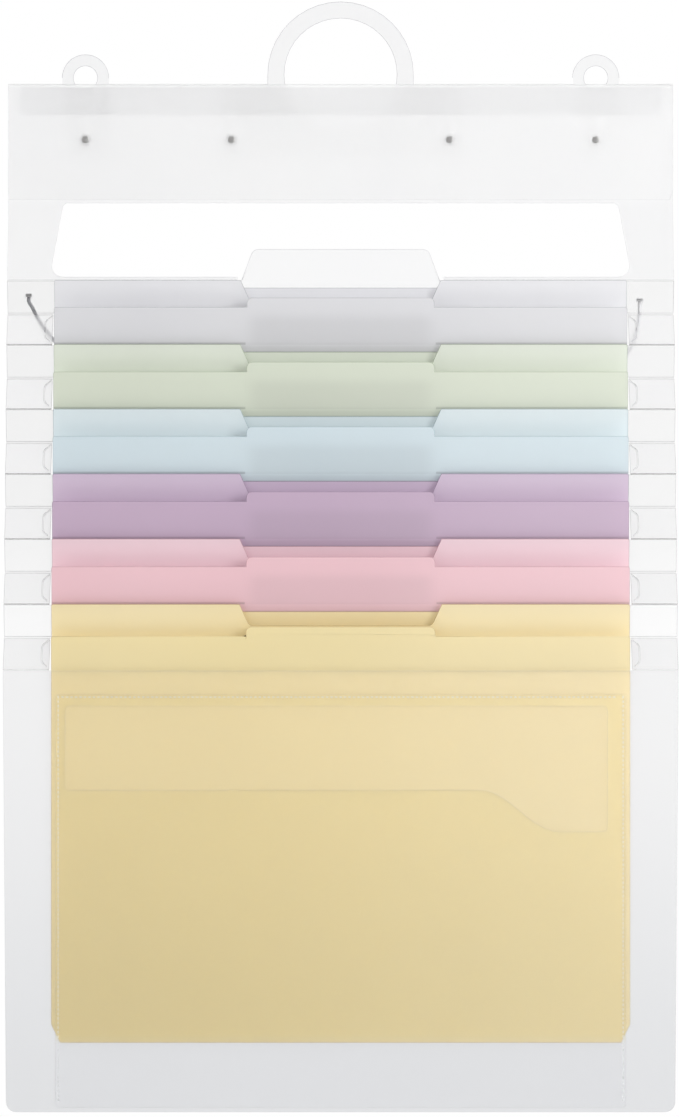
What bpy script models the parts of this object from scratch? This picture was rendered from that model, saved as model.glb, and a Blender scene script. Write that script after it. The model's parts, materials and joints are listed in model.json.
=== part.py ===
"""Hanging document pocket: a pleated frosted sheet that carries six coloured pockets.

Units are metres, +Z is up and the front faces -Y. The origin is where a hook bears,
on the underside of the hang handle's top, in the middle of the handle's thickness.
"""

import math

import bmesh
import bpy
from mathutils import Matrix, Vector

MM = 0.001

# Sheets and the space between pieces that touch
SIDE_MARGIN = 25.8 * MM
SHEET_THICKNESS = 0.5 * MM
FILM_THICKNESS = 0.4 * MM
GAP = 0.3 * MM

# Hang handle: a ring on a wide plate that slides inside the header
HANDLE_THICKNESS = 0.8 * MM
HANDLE_HOLE_RADIUS = 30.7 * MM
HANDLE_RING_WIDTH = 9.1 * MM
HANDLE_RISE = 5.1 * MM
HANDLE_PLATE_MARGIN = 25.7 * MM
HANDLE_PLATE_TOP_DROP = 3 * MM
HANDLE_PLATE_BOTTOM_DROP = 37.4 * MM
HANDLE_TRAVEL = 24.5 * MM
HANDLE_CORNER_RADIUS = 4 * MM

# Side hang loops, one over each outer rivet
LOOP_INSET = 42 * MM
LOOP_HOLE_RADIUS = 6.5 * MM
LOOP_RING_WIDTH = 6.3 * MM
LOOP_RISE = 3.3 * MM
LOOP_BOTTOM_DROP = 37.4 * MM
LOOP_TRAVEL = 16 * MM
LOOP_CORNER_RADIUS = 3 * MM

# Header: back sheet, folded front flap and a stiffener strip between them
HEADER_HEIGHT = 63.2 * MM
HEADER_CLIP_WIDTH = 2 * MM
HEADER_CLIP_HEIGHT = 5.4 * MM
STIFFENER_INSET = 6.5 * MM
STIFFENER_HEIGHT = 14.4 * MM
STIFFENER_DROP = 2.2 * MM
STIFFENER_THICKNESS = 0.8 * MM

# Rivets that guide the handle and the loops in their slots
RIVET_INSET = 6.1 * MM
RIVET_DROP = 30.4 * MM
RIVET_SHANK_RADIUS = 1.25 * MM
RIVET_HEAD_RADIUS = 2 * MM
RIVET_HEAD_THICKNESS = 0.6 * MM
RIVET_DOME_SHARE = 0.55
SLOT_CLEARANCE = 0.35 * MM
SLOT_ROUND_SHARE = 0.98

# Top panel with its wide window, down to the first fold
TOP_PANEL_HEIGHT = 44.4 * MM
FIRST_FOLD_FORWARD = 13 * MM
WINDOW_TOP_INSET = 30 * MM
WINDOW_BOTTOM_INSET = 23 * MM
WINDOW_TOP_MARGIN = 1.6 * MM
WINDOW_BOTTOM_MARGIN = 2 * MM
WINDOW_TOP_RADIUS = 3 * MM
WINDOW_BOTTOM_RADIUS = 6 * MM

# Pleats: each level goes back to a valley and comes forward again to the next fold
FOLD_PITCH = 35.1 * MM
VALLEY_DROP_SHARE = 0.513
PITCH_FORWARD = 8 * MM
PLEAT_BACK = 6 * MM
FOLD_RELIEF = 0.12 * MM
FOLD_END_GAP = 0.45 * MM
PLEAT_OPENING_CLEARANCE = 1.1 * MM
PLEAT_OPENING_BULGE = 4.4 * MM
PLEAT_OPENING_RADIUS = 3.6 * MM
PLEAT_SLIT_WIDTH = 0.4 * MM
PLEAT_EAR_HOLD = 1.6 * MM

# Frosted tab that stands up from every fold
TAB_BASE_WIDTH = 108 * MM
TAB_TAPER = 6.5 * MM
TAB_HEIGHT = 16.9 * MM
TAB_CORNER_RADIUS = 4 * MM
TAB_LEAN = 1 * MM
TAB_SLOT_CLEARANCE = 2 * MM

# Coloured pockets
POCKET_COLOURS = ("gray", "green", "blue", "purple", "pink", "yellow")
POCKET_WIDTH = 310.4 * MM
POCKET_HEIGHT = 235 * MM
POCKET_CORNER_WIDTH = 4.9 * MM
POCKET_CORNER_HEIGHT = 9.8 * MM
POCKET_SIDE_DROP = 57 * MM
POCKET_MOUTH_FORWARD = 5.4 * MM
POCKET_KNEE_DROP = 17 * MM
POCKET_KNEE_FORWARD = 0.9 * MM
POCKET_FRONT_FORWARD = 0.5 * MM
POCKET_BACK_EDGE_DROP = 4 * MM
NOTCH_CLEARANCE = 0.25 * MM
NOTCH_TAPER = 5.25 * MM
NOTCH_DEPTH = 11.4 * MM
NOTCH_RADIUS = 3 * MM

# Front strips, one over each pocket's mouth, with a raised middle
STRIP_RISE = 20.2 * MM
STRIP_DROP_SHARE = 0.667
STRIP_LEAN = 1.9 * MM
STRIP_RAISED_INSET = 3.25 * MM
STRIP_RAISED_HEIGHT = 5.2 * MM
STRIP_RAISED_RADIUS = 3 * MM
STRIP_CORNER_RADIUS = 1 * MM

# Yellow front panel behind the cover
FRONT_PANEL_RISE = 17.9 * MM
FRONT_PANEL_SETBACK = 1.3 * MM
FRONT_PANEL_TOP_FORWARD = 0.7 * MM

# Front cover and the sheet welded to its back, with an opening for papers
COVER_BELOW_POCKET = 37.1 * MM
COVER_TAPER = 1.7 * MM
COVER_CORNER_RADIUS = 5.5 * MM
INNER_SHEET_INSET = 2.2 * MM
INNER_SHEET_THICKNESS = 0.35 * MM
INNER_SHEET_DROP = 13 * MM
INNER_SHEET_BOTTOM_MARGIN = 2.5 * MM
INNER_SHEET_RADIUS = 2 * MM
COVER_OPENING_TOP_MARGIN = 6.4 * MM
COVER_OPENING_LEFT_MARGIN = 5.4 * MM
COVER_OPENING_RIGHT_MARGIN = 10 * MM
COVER_OPENING_SHALLOW = 45 * MM
COVER_OPENING_STEP = 22.5 * MM
COVER_OPENING_RADIUS = 2 * MM
COVER_CURVE_START_MARGIN = 78.3 * MM
COVER_CURVE_END_MARGIN = 35.5 * MM
COVER_CURVE_STEPS = 12

# Elastic cord: its two ends are crimped and held in holes of the first pleat
CORD_DIAMETER = 2 * MM
CORD_POINT_SPACING = 5.4 * MM
CORD_STRAIGHT = 2.4 * MM
CRIMP_WIDTH = 3.2 * MM
CRIMP_HEIGHT = 1.6 * MM
CRIMP_PIN_INSET = 0.3 * MM
CRIMP_PIN_LENGTH = 1.3 * MM
CRIMP_EDGE = 0.2 * MM
CRIMP_HOLE_RADIUS = 1.75 * MM
LEFT_CRIMP_INSET = 11.5 * MM
LEFT_CRIMP_DROP = 8.4 * MM
RIGHT_CRIMP_INSET = 18.4 * MM
RIGHT_CRIMP_DROP = 10.8 * MM

# Round shapes
MERGE_DISTANCE = 0.0003 * MM
SHARP_ANGLE = math.radians(40)
ROUTE_STEPS = 20
CORNER_STEPS = 5
CIRCLE_STEPS = 40
RIVET_STEPS = 20
HEADER_FOLD_STEPS = 8
HEADER_FOLD_SLOT_SHARE = 0.4

# Widths and heights that follow from the sizes above
SHEET_WIDTH = POCKET_WIDTH + 2 * SIDE_MARGIN
HALF_WIDTH = SHEET_WIDTH / 2
HANDLE_OUTER_RADIUS = HANDLE_HOLE_RADIUS + HANDLE_RING_WIDTH
HANDLE_PLATE_WIDTH = 2 * (HANDLE_OUTER_RADIUS + HANDLE_PLATE_MARGIN)
RIVET_SPACING = HANDLE_PLATE_WIDTH - 2 * RIVET_INSET
LOOP_SPACING = SHEET_WIDTH - 2 * LOOP_INSET
LOOP_OUTER_RADIUS = LOOP_HOLE_RADIUS + LOOP_RING_WIDTH
STIFFENER_WIDTH = SHEET_WIDTH - 2 * STIFFENER_INSET
FIRST_FOLD_DROP = HEADER_HEIGHT + TOP_PANEL_HEIGHT
WINDOW_TOP_WIDTH = SHEET_WIDTH - 2 * WINDOW_TOP_INSET
WINDOW_BOTTOM_WIDTH = SHEET_WIDTH - 2 * WINDOW_BOTTOM_INSET
VALLEY_DROP = FOLD_PITCH * VALLEY_DROP_SHARE
PLEAT_OPENING_WIDTH = POCKET_WIDTH + 2 * PLEAT_OPENING_CLEARANCE
TAB_TOP_WIDTH = TAB_BASE_WIDTH - 2 * TAB_TAPER
NOTCH_TOP_WIDTH = TAB_BASE_WIDTH + 2 * NOTCH_CLEARANCE
NOTCH_BOTTOM_WIDTH = NOTCH_TOP_WIDTH - 2 * NOTCH_TAPER
STRIP_DROP = VALLEY_DROP * STRIP_DROP_SHARE
STRIP_RAISED_WIDTH = TAB_BASE_WIDTH - 2 * STRIP_RAISED_INSET
COVER_HEIGHT = POCKET_HEIGHT - FOLD_PITCH + COVER_BELOW_POCKET
COVER_BOTTOM_WIDTH = SHEET_WIDTH - 2 * COVER_TAPER
INNER_SHEET_WIDTH = POCKET_WIDTH - 2 * INNER_SHEET_INSET
INNER_SHEET_HEIGHT = COVER_HEIGHT - INNER_SHEET_DROP - INNER_SHEET_BOTTOM_MARGIN

# Places that follow from the sizes above
HEADER_TOP = -(HANDLE_HOLE_RADIUS + HANDLE_RISE)
HEADER_BOTTOM = HEADER_TOP - HEADER_HEIGHT
HEADER_BACK_Y = HANDLE_THICKNESS / 2 + GAP
STIFFENER_Y = -(HANDLE_THICKNESS / 2 + GAP + STIFFENER_THICKNESS)
FLAP_Y = STIFFENER_Y - GAP - SHEET_THICKNESS
HEADER_FOLD_RADIUS = (HEADER_BACK_Y + SHEET_THICKNESS - FLAP_Y) / 2
HEADER_FOLD_Y = FLAP_Y + HEADER_FOLD_RADIUS
LEVELS = len(POCKET_COLOURS)
COVER_LEVEL = LEVELS + 1

# The elastic cord's free run between its crimps: shares of the way across, depth, and
# drop below the first fold, chosen by hand
CORD_ACROSS_SHARES = (
    0.006, 0.012, 0.021, 0.036, 0.060, 0.095, 0.143, 0.203, 0.276, 0.360, 0.450,
    0.540, 0.631, 0.715, 0.789, 0.855, 0.911, 0.955, 0.983, 0.996, 1.000,
)
CORD_DEPTHS = (
    -6.3 * MM, -4.9 * MM, -4.5 * MM, -4.4 * MM, -4.4 * MM, -4.4 * MM, -4.4 * MM,
    -4.4 * MM, -4.4 * MM, -4.4 * MM, -4.4 * MM, -4.4 * MM, -4.4 * MM, -4.4 * MM,
    -4.4 * MM, -4.4 * MM, -4.4 * MM, -4.4 * MM, -4.4 * MM, -4.5 * MM, -5.3 * MM,
)
CORD_DROPS = (
    14.6 * MM, 18.8 * MM, 24.0 * MM, 30.4 * MM, 39.4 * MM, 50.9 * MM, 63.4 * MM,
    76.4 * MM, 88.4 * MM, 98.4 * MM, 104.4 * MM, 105.9 * MM, 102.9 * MM, 95.9 * MM,
    86.4 * MM, 75.2 * MM, 62.6 * MM, 49.4 * MM, 37.4 * MM, 27.4 * MM, 18.4 * MM,
)

# Colour, roughness and metallic of each material
FINISHES = {
    "frosted_polypropylene": ((0.84, 0.85, 0.86), 0.45, 0.0),
    "gray_polypropylene": ((0.66, 0.66, 0.69), 0.4, 0.0),
    "green_polypropylene": ((0.63, 0.70, 0.50), 0.4, 0.0),
    "blue_polypropylene": ((0.60, 0.70, 0.78), 0.4, 0.0),
    "purple_polypropylene": ((0.47, 0.36, 0.52), 0.4, 0.0),
    "pink_polypropylene": ((0.80, 0.52, 0.60), 0.4, 0.0),
    "yellow_polypropylene": ((0.86, 0.74, 0.38), 0.4, 0.0),
    "gray_elastic": ((0.25, 0.25, 0.26), 0.8, 0.0),
    "nickel_plated_steel": ((0.62, 0.62, 0.60), 0.3, 1.0),
}

pivot_places = {}


def clear_scene():
    for thing in list(bpy.data.objects):
        bpy.data.objects.remove(thing, do_unlink=True)


def make_material(name):
    colour, roughness, metallic = FINISHES[name]
    finish = bpy.data.materials.new(name)
    finish.use_nodes = True
    shader = finish.node_tree.nodes["Principled BSDF"]
    shader.inputs["Base Color"].default_value = (*colour, 1.0)
    shader.inputs["Roughness"].default_value = roughness
    shader.inputs["Metallic"].default_value = metallic
    return finish


def make_pivot(name, place, parent=None):
    """An empty on a joint's axis, which the pieces of one moving group hang under."""
    pivot = bpy.data.objects.new(name, None)
    bpy.context.collection.objects.link(pivot)
    pivot_places[name] = Vector(place)
    if parent:
        pivot.parent = parent
        pivot.location = Vector(place) - pivot_places[parent.name]
    else:
        pivot.location = place
    return pivot


def make_piece(name, mesh, material, pivot):
    """An object whose mesh is given in world places, hung under its pivot."""
    mesh.transform(Matrix.Translation(-pivot_places[pivot.name]))
    mesh.materials.append(material)
    piece = bpy.data.objects.new(name, mesh)
    piece.parent = pivot
    bpy.context.collection.objects.link(piece)
    return piece


def fold_y(level):
    """The depth of the fold line at the top of a level, counted from 1."""
    return -FIRST_FOLD_FORWARD - (level - 1) * PITCH_FORWARD


def fold_z(level):
    return HEADER_TOP - FIRST_FOLD_DROP - (level - 1) * FOLD_PITCH


def valley_y(level):
    return fold_y(level) + PLEAT_BACK


def valley_z(level):
    return fold_z(level) - VALLEY_DROP


def slant(run, drop):
    """How much deeper along Y a wall is when it leans run over drop."""
    return math.hypot(run, drop) / drop


def back_leaf_slant():
    return slant(PLEAT_BACK, VALLEY_DROP)


def front_leaf_slant():
    return slant(PLEAT_BACK + PITCH_FORWARD, FOLD_PITCH - VALLEY_DROP)


def back_leaf_face(level):
    """Front face of the leaf that goes back from a fold to its valley: z and y."""
    top = fold_y(level) - SHEET_THICKNESS * back_leaf_slant() - FOLD_RELIEF
    return [(fold_z(level), top), (valley_z(level), valley_y(level) + FOLD_RELIEF)]


def height_on(face, z):
    """The y of a face at height z, straight between its points and level past its ends."""
    points = sorted(face)
    if z <= points[0][0]:
        return points[0][1]
    for (low, low_y), (high, high_y) in zip(points, points[1:]):
        if z <= high:
            return low_y + (high_y - low_y) * (z - low) / (high - low)
    return points[-1][1]


def rounded(corners):
    """A closed outline through corners given as x, z and radius."""
    outline = []
    for index, (x, z, radius) in enumerate(corners):
        corner = Vector((x, z))
        if radius == 0:
            outline.append(corner)
            continue
        before = (Vector(corners[index - 1][:2]) - corner).normalized()
        after = (Vector(corners[(index + 1) % len(corners)][:2]) - corner).normalized()
        half_angle = before.angle(after) / 2
        centre = corner + (before + after).normalized() * (radius / math.sin(half_angle))
        start = corner + before * (radius / math.tan(half_angle)) - centre
        turn = math.pi - 2 * half_angle
        if before.x * after.y - before.y * after.x > 0:
            turn = -turn
        for step in range(CORNER_STEPS + 1):
            outline.append(centre + Matrix.Rotation(turn * step / CORNER_STEPS, 2) @ start)
    return outline


def circle(x, z, radius, steps=CIRCLE_STEPS):
    angles = [2 * math.pi * step / steps for step in range(steps)]
    return [Vector((x + radius * math.cos(a), z + radius * math.sin(a))) for a in angles]


def mirrored(right_half):
    """Corners for both sides, from those of the right side listed bottom to top."""
    return right_half + [(-x, z, radius) for x, z, radius in reversed(right_half)]


def fill_sheet(shape, outlines, face):
    """Fill outlines, the first the border and the rest holes, and lay them on a face."""
    before = set(shape.verts)
    edges = []
    for outline in outlines:
        corners = [shape.verts.new((point[0], 0, point[1])) for point in outline]
        for index, corner in enumerate(corners):
            edges.append(shape.edges.new((corner, corners[(index + 1) % len(corners)])))
    bmesh.ops.triangle_fill(shape, use_beauty=True, edges=edges)
    for z, _ in face:
        added = [v for v in shape.verts if v not in before]
        geometry = set(added)
        geometry.update(e for v in added for e in v.link_edges)
        geometry.update(f for v in added for f in v.link_faces)
        bmesh.ops.bisect_plane(
            shape, geom=list(geometry), dist=MERGE_DISTANCE,
            plane_co=(0, 0, z), plane_no=(0, 0, 1),
        )
    added = [v for v in shape.verts if v not in before]
    for corner in added:
        corner.co.y = height_on(face, corner.co.z)
    return added


def face_front(shape):
    """Turn an open sheet's faces to one side, with the foremost one towards the front."""
    bmesh.ops.recalc_face_normals(shape, faces=shape.faces)
    foremost = min(shape.faces, key=lambda f: f.calc_center_median().y)
    if foremost.normal.y > 0:
        bmesh.ops.reverse_faces(shape, faces=shape.faces)


def thicken(piece, thickness):
    """Give a sheet its thickness behind the faces that were drawn."""
    wall = piece.modifiers.new("thickness", "SOLIDIFY")
    wall.thickness = thickness
    wall.offset = -1
    wall.use_even_offset = True
    return piece


def make_sheet(name, outlines, face, thickness, material, pivot):
    """A cut and creased sheet: outlines in x and z, front face as z and y."""
    shape = bmesh.new()
    fill_sheet(shape, outlines, face)
    face_front(shape)
    mesh = bpy.data.meshes.new(name)
    shape.to_mesh(mesh)
    shape.free()
    return thicken(make_piece(name, mesh, material, pivot), thickness)


def make_turned(name, profile, place, material, pivot):
    """A round piece about the Y direction, from its half section as radius and y."""
    shape = bmesh.new()
    corners = [shape.verts.new((radius, y, 0)) for radius, y in profile]
    edges = [shape.edges.new(pair) for pair in zip(corners, corners[1:])]
    bmesh.ops.spin(
        shape, geom=corners + edges, cent=(0, 0, 0), axis=(0, 1, 0),
        angle=2 * math.pi, steps=RIVET_STEPS, use_merge=True,
    )
    bmesh.ops.remove_doubles(shape, verts=shape.verts, dist=MERGE_DISTANCE)
    bmesh.ops.recalc_face_normals(shape, faces=shape.faces)
    bmesh.ops.translate(shape, verts=shape.verts, vec=place)
    mesh = bpy.data.meshes.new(name)
    shape.to_mesh(mesh)
    shape.free()
    mesh.shade_smooth()
    mesh.set_sharp_from_angle(angle=SHARP_ANGLE)
    return make_piece(name, mesh, material, pivot)


def guide_slot(x, travel):
    """The slot round a rivet: it reaches up by the travel of the piece it is cut in."""
    half = RIVET_SHANK_RADIUS + SLOT_CLEARANCE
    low = HEADER_TOP - RIVET_DROP - half
    high = HEADER_TOP - RIVET_DROP + travel + half
    radius = half * SLOT_ROUND_SHARE
    return rounded([(x - half, low, radius), (x + half, low, radius),
                    (x + half, high, radius), (x - half, high, radius)])


def make_hang_handle(material, pivot):
    """Ring above the header, on a plate with a slot round each inner rivet."""
    centre_z = HEADER_TOP + HANDLE_RISE
    plate_top = HEADER_TOP - HANDLE_PLATE_TOP_DROP
    plate_bottom = HEADER_TOP - HANDLE_PLATE_BOTTOM_DROP
    half_plate = HANDLE_PLATE_WIDTH / 2
    outline = [Vector((-HANDLE_OUTER_RADIUS, plate_top))]
    outline += rounded([
        (-half_plate, plate_top, HANDLE_CORNER_RADIUS),
        (-half_plate, plate_bottom, HANDLE_CORNER_RADIUS),
        (half_plate, plate_bottom, HANDLE_CORNER_RADIUS),
        (half_plate, plate_top, HANDLE_CORNER_RADIUS),
    ])
    outline.append(Vector((HANDLE_OUTER_RADIUS, plate_top)))
    half_turn = CIRCLE_STEPS // 2
    for step in range(half_turn + 1):
        angle = math.pi * step / half_turn
        outline.append(Vector((HANDLE_OUTER_RADIUS * math.cos(angle),
                               centre_z + HANDLE_OUTER_RADIUS * math.sin(angle))))
    holes = [circle(0, centre_z, HANDLE_HOLE_RADIUS)]
    holes += [guide_slot(side * RIVET_SPACING / 2, HANDLE_TRAVEL) for side in (-1, 1)]
    face = [(HEADER_TOP, -HANDLE_THICKNESS / 2)]
    make_sheet("hang_handle", [outline] + holes, face, HANDLE_THICKNESS, material, pivot)


def make_hang_loop(name, x, material, pivot):
    """Small ring whose stem is slotted round an outer rivet."""
    centre_z = HEADER_TOP + LOOP_RISE
    bottom = HEADER_TOP - LOOP_BOTTOM_DROP
    outline = rounded([
        (x - LOOP_OUTER_RADIUS, bottom, LOOP_CORNER_RADIUS),
        (x + LOOP_OUTER_RADIUS, bottom, LOOP_CORNER_RADIUS),
        (x + LOOP_OUTER_RADIUS, centre_z, 0),
    ])[:-1]
    half_turn = CIRCLE_STEPS // 2
    for step in range(half_turn + 1):
        angle = math.pi * step / half_turn
        outline.append(Vector((x + LOOP_OUTER_RADIUS * math.cos(angle),
                               centre_z + LOOP_OUTER_RADIUS * math.sin(angle))))
    holes = [circle(x, centre_z, LOOP_HOLE_RADIUS), guide_slot(x, LOOP_TRAVEL)]
    face = [(HEADER_TOP, -HANDLE_THICKNESS / 2)]
    make_sheet(name, [outline] + holes, face, HANDLE_THICKNESS, material, pivot)


def rivet_places():
    return [-LOOP_SPACING / 2, -RIVET_SPACING / 2, RIVET_SPACING / 2, LOOP_SPACING / 2]


def make_header_back(material, pivot):
    """Back of the header and, bent forward below it, the top panel with its window."""
    top = HEADER_TOP - HEADER_FOLD_RADIUS - GAP
    bottom = fold_z(1) + FOLD_END_GAP
    window_top = HEADER_BOTTOM - WINDOW_TOP_MARGIN
    window_bottom = fold_z(1) + WINDOW_BOTTOM_MARGIN
    half_slot = TAB_BASE_WIDTH / 2 + TAB_SLOT_CLEARANCE
    right = [
        (half_slot, bottom, 0),
        (HALF_WIDTH, bottom, 0),
        (HALF_WIDTH, top, 0),
    ]
    window = [
        (-half_slot, window_bottom, 0),
        (-WINDOW_BOTTOM_WIDTH / 2, window_bottom, WINDOW_BOTTOM_RADIUS),
        (-WINDOW_TOP_WIDTH / 2, window_top, WINDOW_TOP_RADIUS),
        (WINDOW_TOP_WIDTH / 2, window_top, WINDOW_TOP_RADIUS),
        (WINDOW_BOTTOM_WIDTH / 2, window_bottom, WINDOW_BOTTOM_RADIUS),
        (half_slot, window_bottom, 0),
    ]
    outline = rounded(mirrored(right) + window)
    hole_radius = RIVET_SHANK_RADIUS + SLOT_CLEARANCE
    holes = [circle(x, HEADER_TOP - RIVET_DROP, hole_radius, RIVET_STEPS) for x in rivet_places()]
    lean = slant(FIRST_FOLD_FORWARD, FIRST_FOLD_DROP - HEADER_HEIGHT)
    foot = fold_y(1) - SHEET_THICKNESS * lean - FOLD_RELIEF
    face = [(HEADER_BOTTOM, HEADER_BACK_Y), (fold_z(1), foot)]
    make_sheet("header_back", [outline] + holes, face, SHEET_THICKNESS, material, pivot)


def header_fold_breaks():
    """Edges across the header's top fold, left to right, and the spans that are open."""
    spans = []
    for x, half in ((-LOOP_SPACING / 2, LOOP_OUTER_RADIUS), (0, HANDLE_OUTER_RADIUS),
                    (LOOP_SPACING / 2, LOOP_OUTER_RADIUS)):
        spans.append((x - half - 2 * GAP, x + half + 2 * GAP))
    breaks = [-HALF_WIDTH] + [edge for span in spans for edge in span] + [HALF_WIDTH]
    return breaks, [index for index in range(len(breaks) - 1) if index % 2]


def make_header_flap(material, pivot):
    """Front flap of the header, folded over the top with openings for ring and loops."""
    breaks, open_spans = header_fold_breaks()
    fold_start = HEADER_TOP - HEADER_FOLD_RADIUS
    shape = bmesh.new()
    outline = [(-HALF_WIDTH, HEADER_BOTTOM), (HALF_WIDTH - HEADER_CLIP_WIDTH, HEADER_BOTTOM),
               (HALF_WIDTH, HEADER_BOTTOM + HEADER_CLIP_HEIGHT)]
    outline += [(x, fold_start) for x in reversed(breaks)]
    added = fill_sheet(shape, [outline], [(fold_start, FLAP_Y)])
    row = sorted((v for v in added if abs(v.co.z - fold_start) < GAP), key=lambda v: v.co.x)
    open_from = round(HEADER_FOLD_STEPS * HEADER_FOLD_SLOT_SHARE)
    for step in range(1, HEADER_FOLD_STEPS + 1):
        angle = math.pi * step / HEADER_FOLD_STEPS
        y = HEADER_FOLD_Y - HEADER_FOLD_RADIUS * math.cos(angle)
        z = fold_start + HEADER_FOLD_RADIUS * math.sin(angle)
        next_row = [shape.verts.new((x, y, z)) for x in breaks]
        for index in range(len(breaks) - 1):
            if index in open_spans and step > open_from:
                continue
            shape.faces.new((row[index], row[index + 1], next_row[index + 1], next_row[index]))
        row = next_row
    face_front(shape)
    mesh = bpy.data.meshes.new("header_front_flap")
    shape.to_mesh(mesh)
    shape.free()
    thicken(make_piece("header_front_flap", mesh, material, pivot), SHEET_THICKNESS)


def make_stiffener(material, pivot):
    """Strip that keeps the header flat between the handle and the front flap."""
    top = HEADER_TOP - STIFFENER_DROP
    half = STIFFENER_WIDTH / 2
    outline = rounded([(-half, top - STIFFENER_HEIGHT, STRIP_CORNER_RADIUS),
                       (half, top - STIFFENER_HEIGHT, STRIP_CORNER_RADIUS),
                       (half, top, STRIP_CORNER_RADIUS), (-half, top, STRIP_CORNER_RADIUS)])
    face = [(top, STIFFENER_Y)]
    make_sheet("header_stiffener", [outline], face, STIFFENER_THICKNESS, material, pivot)


def make_rivets(material, pivot):
    """Rivets through the back sheet and the slots, with a head on either side."""
    back_seat = HEADER_BACK_Y + SHEET_THICKNESS + GAP
    front_seat = -(HANDLE_THICKNESS / 2 + GAP)
    rim = RIVET_HEAD_THICKNESS * (1 - RIVET_DOME_SHARE)
    profile = [
        (0, front_seat - RIVET_HEAD_THICKNESS),
        (RIVET_HEAD_RADIUS * RIVET_DOME_SHARE, front_seat - RIVET_HEAD_THICKNESS),
        (RIVET_HEAD_RADIUS, front_seat - rim),
        (RIVET_HEAD_RADIUS, front_seat),
        (RIVET_SHANK_RADIUS, front_seat),
        (RIVET_SHANK_RADIUS, back_seat),
        (RIVET_HEAD_RADIUS, back_seat),
        (RIVET_HEAD_RADIUS, back_seat + RIVET_HEAD_THICKNESS),
        (0, back_seat + RIVET_HEAD_THICKNESS),
    ]
    for number, x in enumerate(rivet_places(), start=1):
        place = (x, 0, HEADER_TOP - RIVET_DROP)
        make_turned(f"header_rivet_{number}", profile, place, material, pivot)


def make_back_leaf(level, material, pivot):
    """Leaf that slopes back from a fold, with the tab that stands up from the fold."""
    face = back_leaf_face(level)
    top = fold_z(level) - FOLD_END_GAP
    bottom = valley_z(level) + FOLD_END_GAP
    tab_top = fold_z(level) + TAB_HEIGHT
    right = [
        (HALF_WIDTH, bottom, 0),
        (HALF_WIDTH, top, 0),
        (TAB_BASE_WIDTH / 2, top, 0),
        (TAB_TOP_WIDTH / 2, tab_top, TAB_CORNER_RADIUS),
    ]
    holes = []
    if level == 1:
        for _, hole, _ in crimp_places():
            holes.append(circle(hole.x, hole.z, CRIMP_HOLE_RADIUS, RIVET_STEPS))
    profile = face + [(tab_top, face[0][1] - TAB_LEAN)]
    make_sheet(f"back_leaf_{level}", [rounded(mirrored(right))] + holes, profile,
               SHEET_THICKNESS, material, pivot)


def make_front_leaf(level, side, material, pivot):
    """Side strip that comes forward from a valley, with a slit round its opening's ear."""
    top = valley_z(level) - FOLD_END_GAP
    bottom = fold_z(level + 1) + FOLD_END_GAP
    inner = PLEAT_OPENING_WIDTH / 2
    bulge = inner + PLEAT_OPENING_BULGE
    shift = PLEAT_OPENING_RADIUS
    slope = shift / PLEAT_OPENING_BULGE
    slit_height = PLEAT_SLIT_WIDTH * math.hypot(1, slope)
    ear = bulge - PLEAT_SLIT_WIDTH
    ear_shift = (ear - inner) * slope + slit_height
    ear_radius = PLEAT_OPENING_RADIUS - PLEAT_SLIT_WIDTH
    hold = inner + PLEAT_EAR_HOLD
    hold_height = bottom + PLEAT_EAR_HOLD * slope
    corners = [
        (inner, bottom, 0),
        (HALF_WIDTH, bottom, 0),
        (HALF_WIDTH, top, 0),
        (inner, top, 0),
        (bulge, top - shift, PLEAT_OPENING_RADIUS),
        (bulge, bottom + shift, PLEAT_OPENING_RADIUS),
        (hold, hold_height, 0),
        (hold, hold_height + slit_height, 0),
        (ear, bottom + ear_shift, ear_radius),
        (ear, top - ear_shift, ear_radius),
        (inner, top - slit_height, 0),
    ]
    outline = [Vector((side * point.x, point.y)) for point in rounded(corners)]
    lower_y = fold_y(level + 1) - SHEET_THICKNESS * front_leaf_slant() - FOLD_RELIEF
    face = [(valley_z(level), valley_y(level) + FOLD_RELIEF), (fold_z(level + 1), lower_y)]
    name = f"{'left' if side < 0 else 'right'}_pleat_{level}"
    make_sheet(name, [outline], face, SHEET_THICKNESS, material, pivot)


def strip_face(level):
    """Front face of the strip that stands on a fold, over the tab and the back leaf."""
    layer = (GAP + FILM_THICKNESS) * back_leaf_slant()
    (top_z, top_y), (low_z, low_y) = back_leaf_face(level)
    rise = STRIP_RISE + STRIP_RAISED_HEIGHT
    return [(top_z + rise, top_y - layer - STRIP_LEAN), (top_z, top_y - layer),
            (low_z, low_y - layer)]


def strip_corners(fold, rise, half, half_raised):
    """Right half of a strip's top edge, listed bottom to top."""
    return [
        (half, fold + rise, STRIP_CORNER_RADIUS),
        (half_raised, fold + rise, 0),
        (half_raised, fold + rise + STRIP_RAISED_HEIGHT, STRIP_RAISED_RADIUS),
    ]


def make_front_strip(colour, level, material, pivot):
    """Coloured strip over a pocket's mouth, held on the fold below that pocket."""
    bottom = fold_z(level) - STRIP_DROP
    half = POCKET_WIDTH / 2
    corners = [(half, bottom, STRIP_CORNER_RADIUS)]
    corners += strip_corners(fold_z(level), STRIP_RISE, half, STRIP_RAISED_WIDTH / 2)
    make_sheet(f"{colour}_front_strip", [rounded(mirrored(corners))], strip_face(level),
               FILM_THICKNESS, material, pivot)


def pocket_back_face(level):
    """Inner face of a pocket's back: over the strip and leaf, then straight down."""
    layer = (2 * GAP + 2 * FILM_THICKNESS) * back_leaf_slant()
    (top_z, top_y), (low_z, low_y) = back_leaf_face(level)
    return [(top_z, top_y - layer), (low_z, low_y - layer)]


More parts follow.
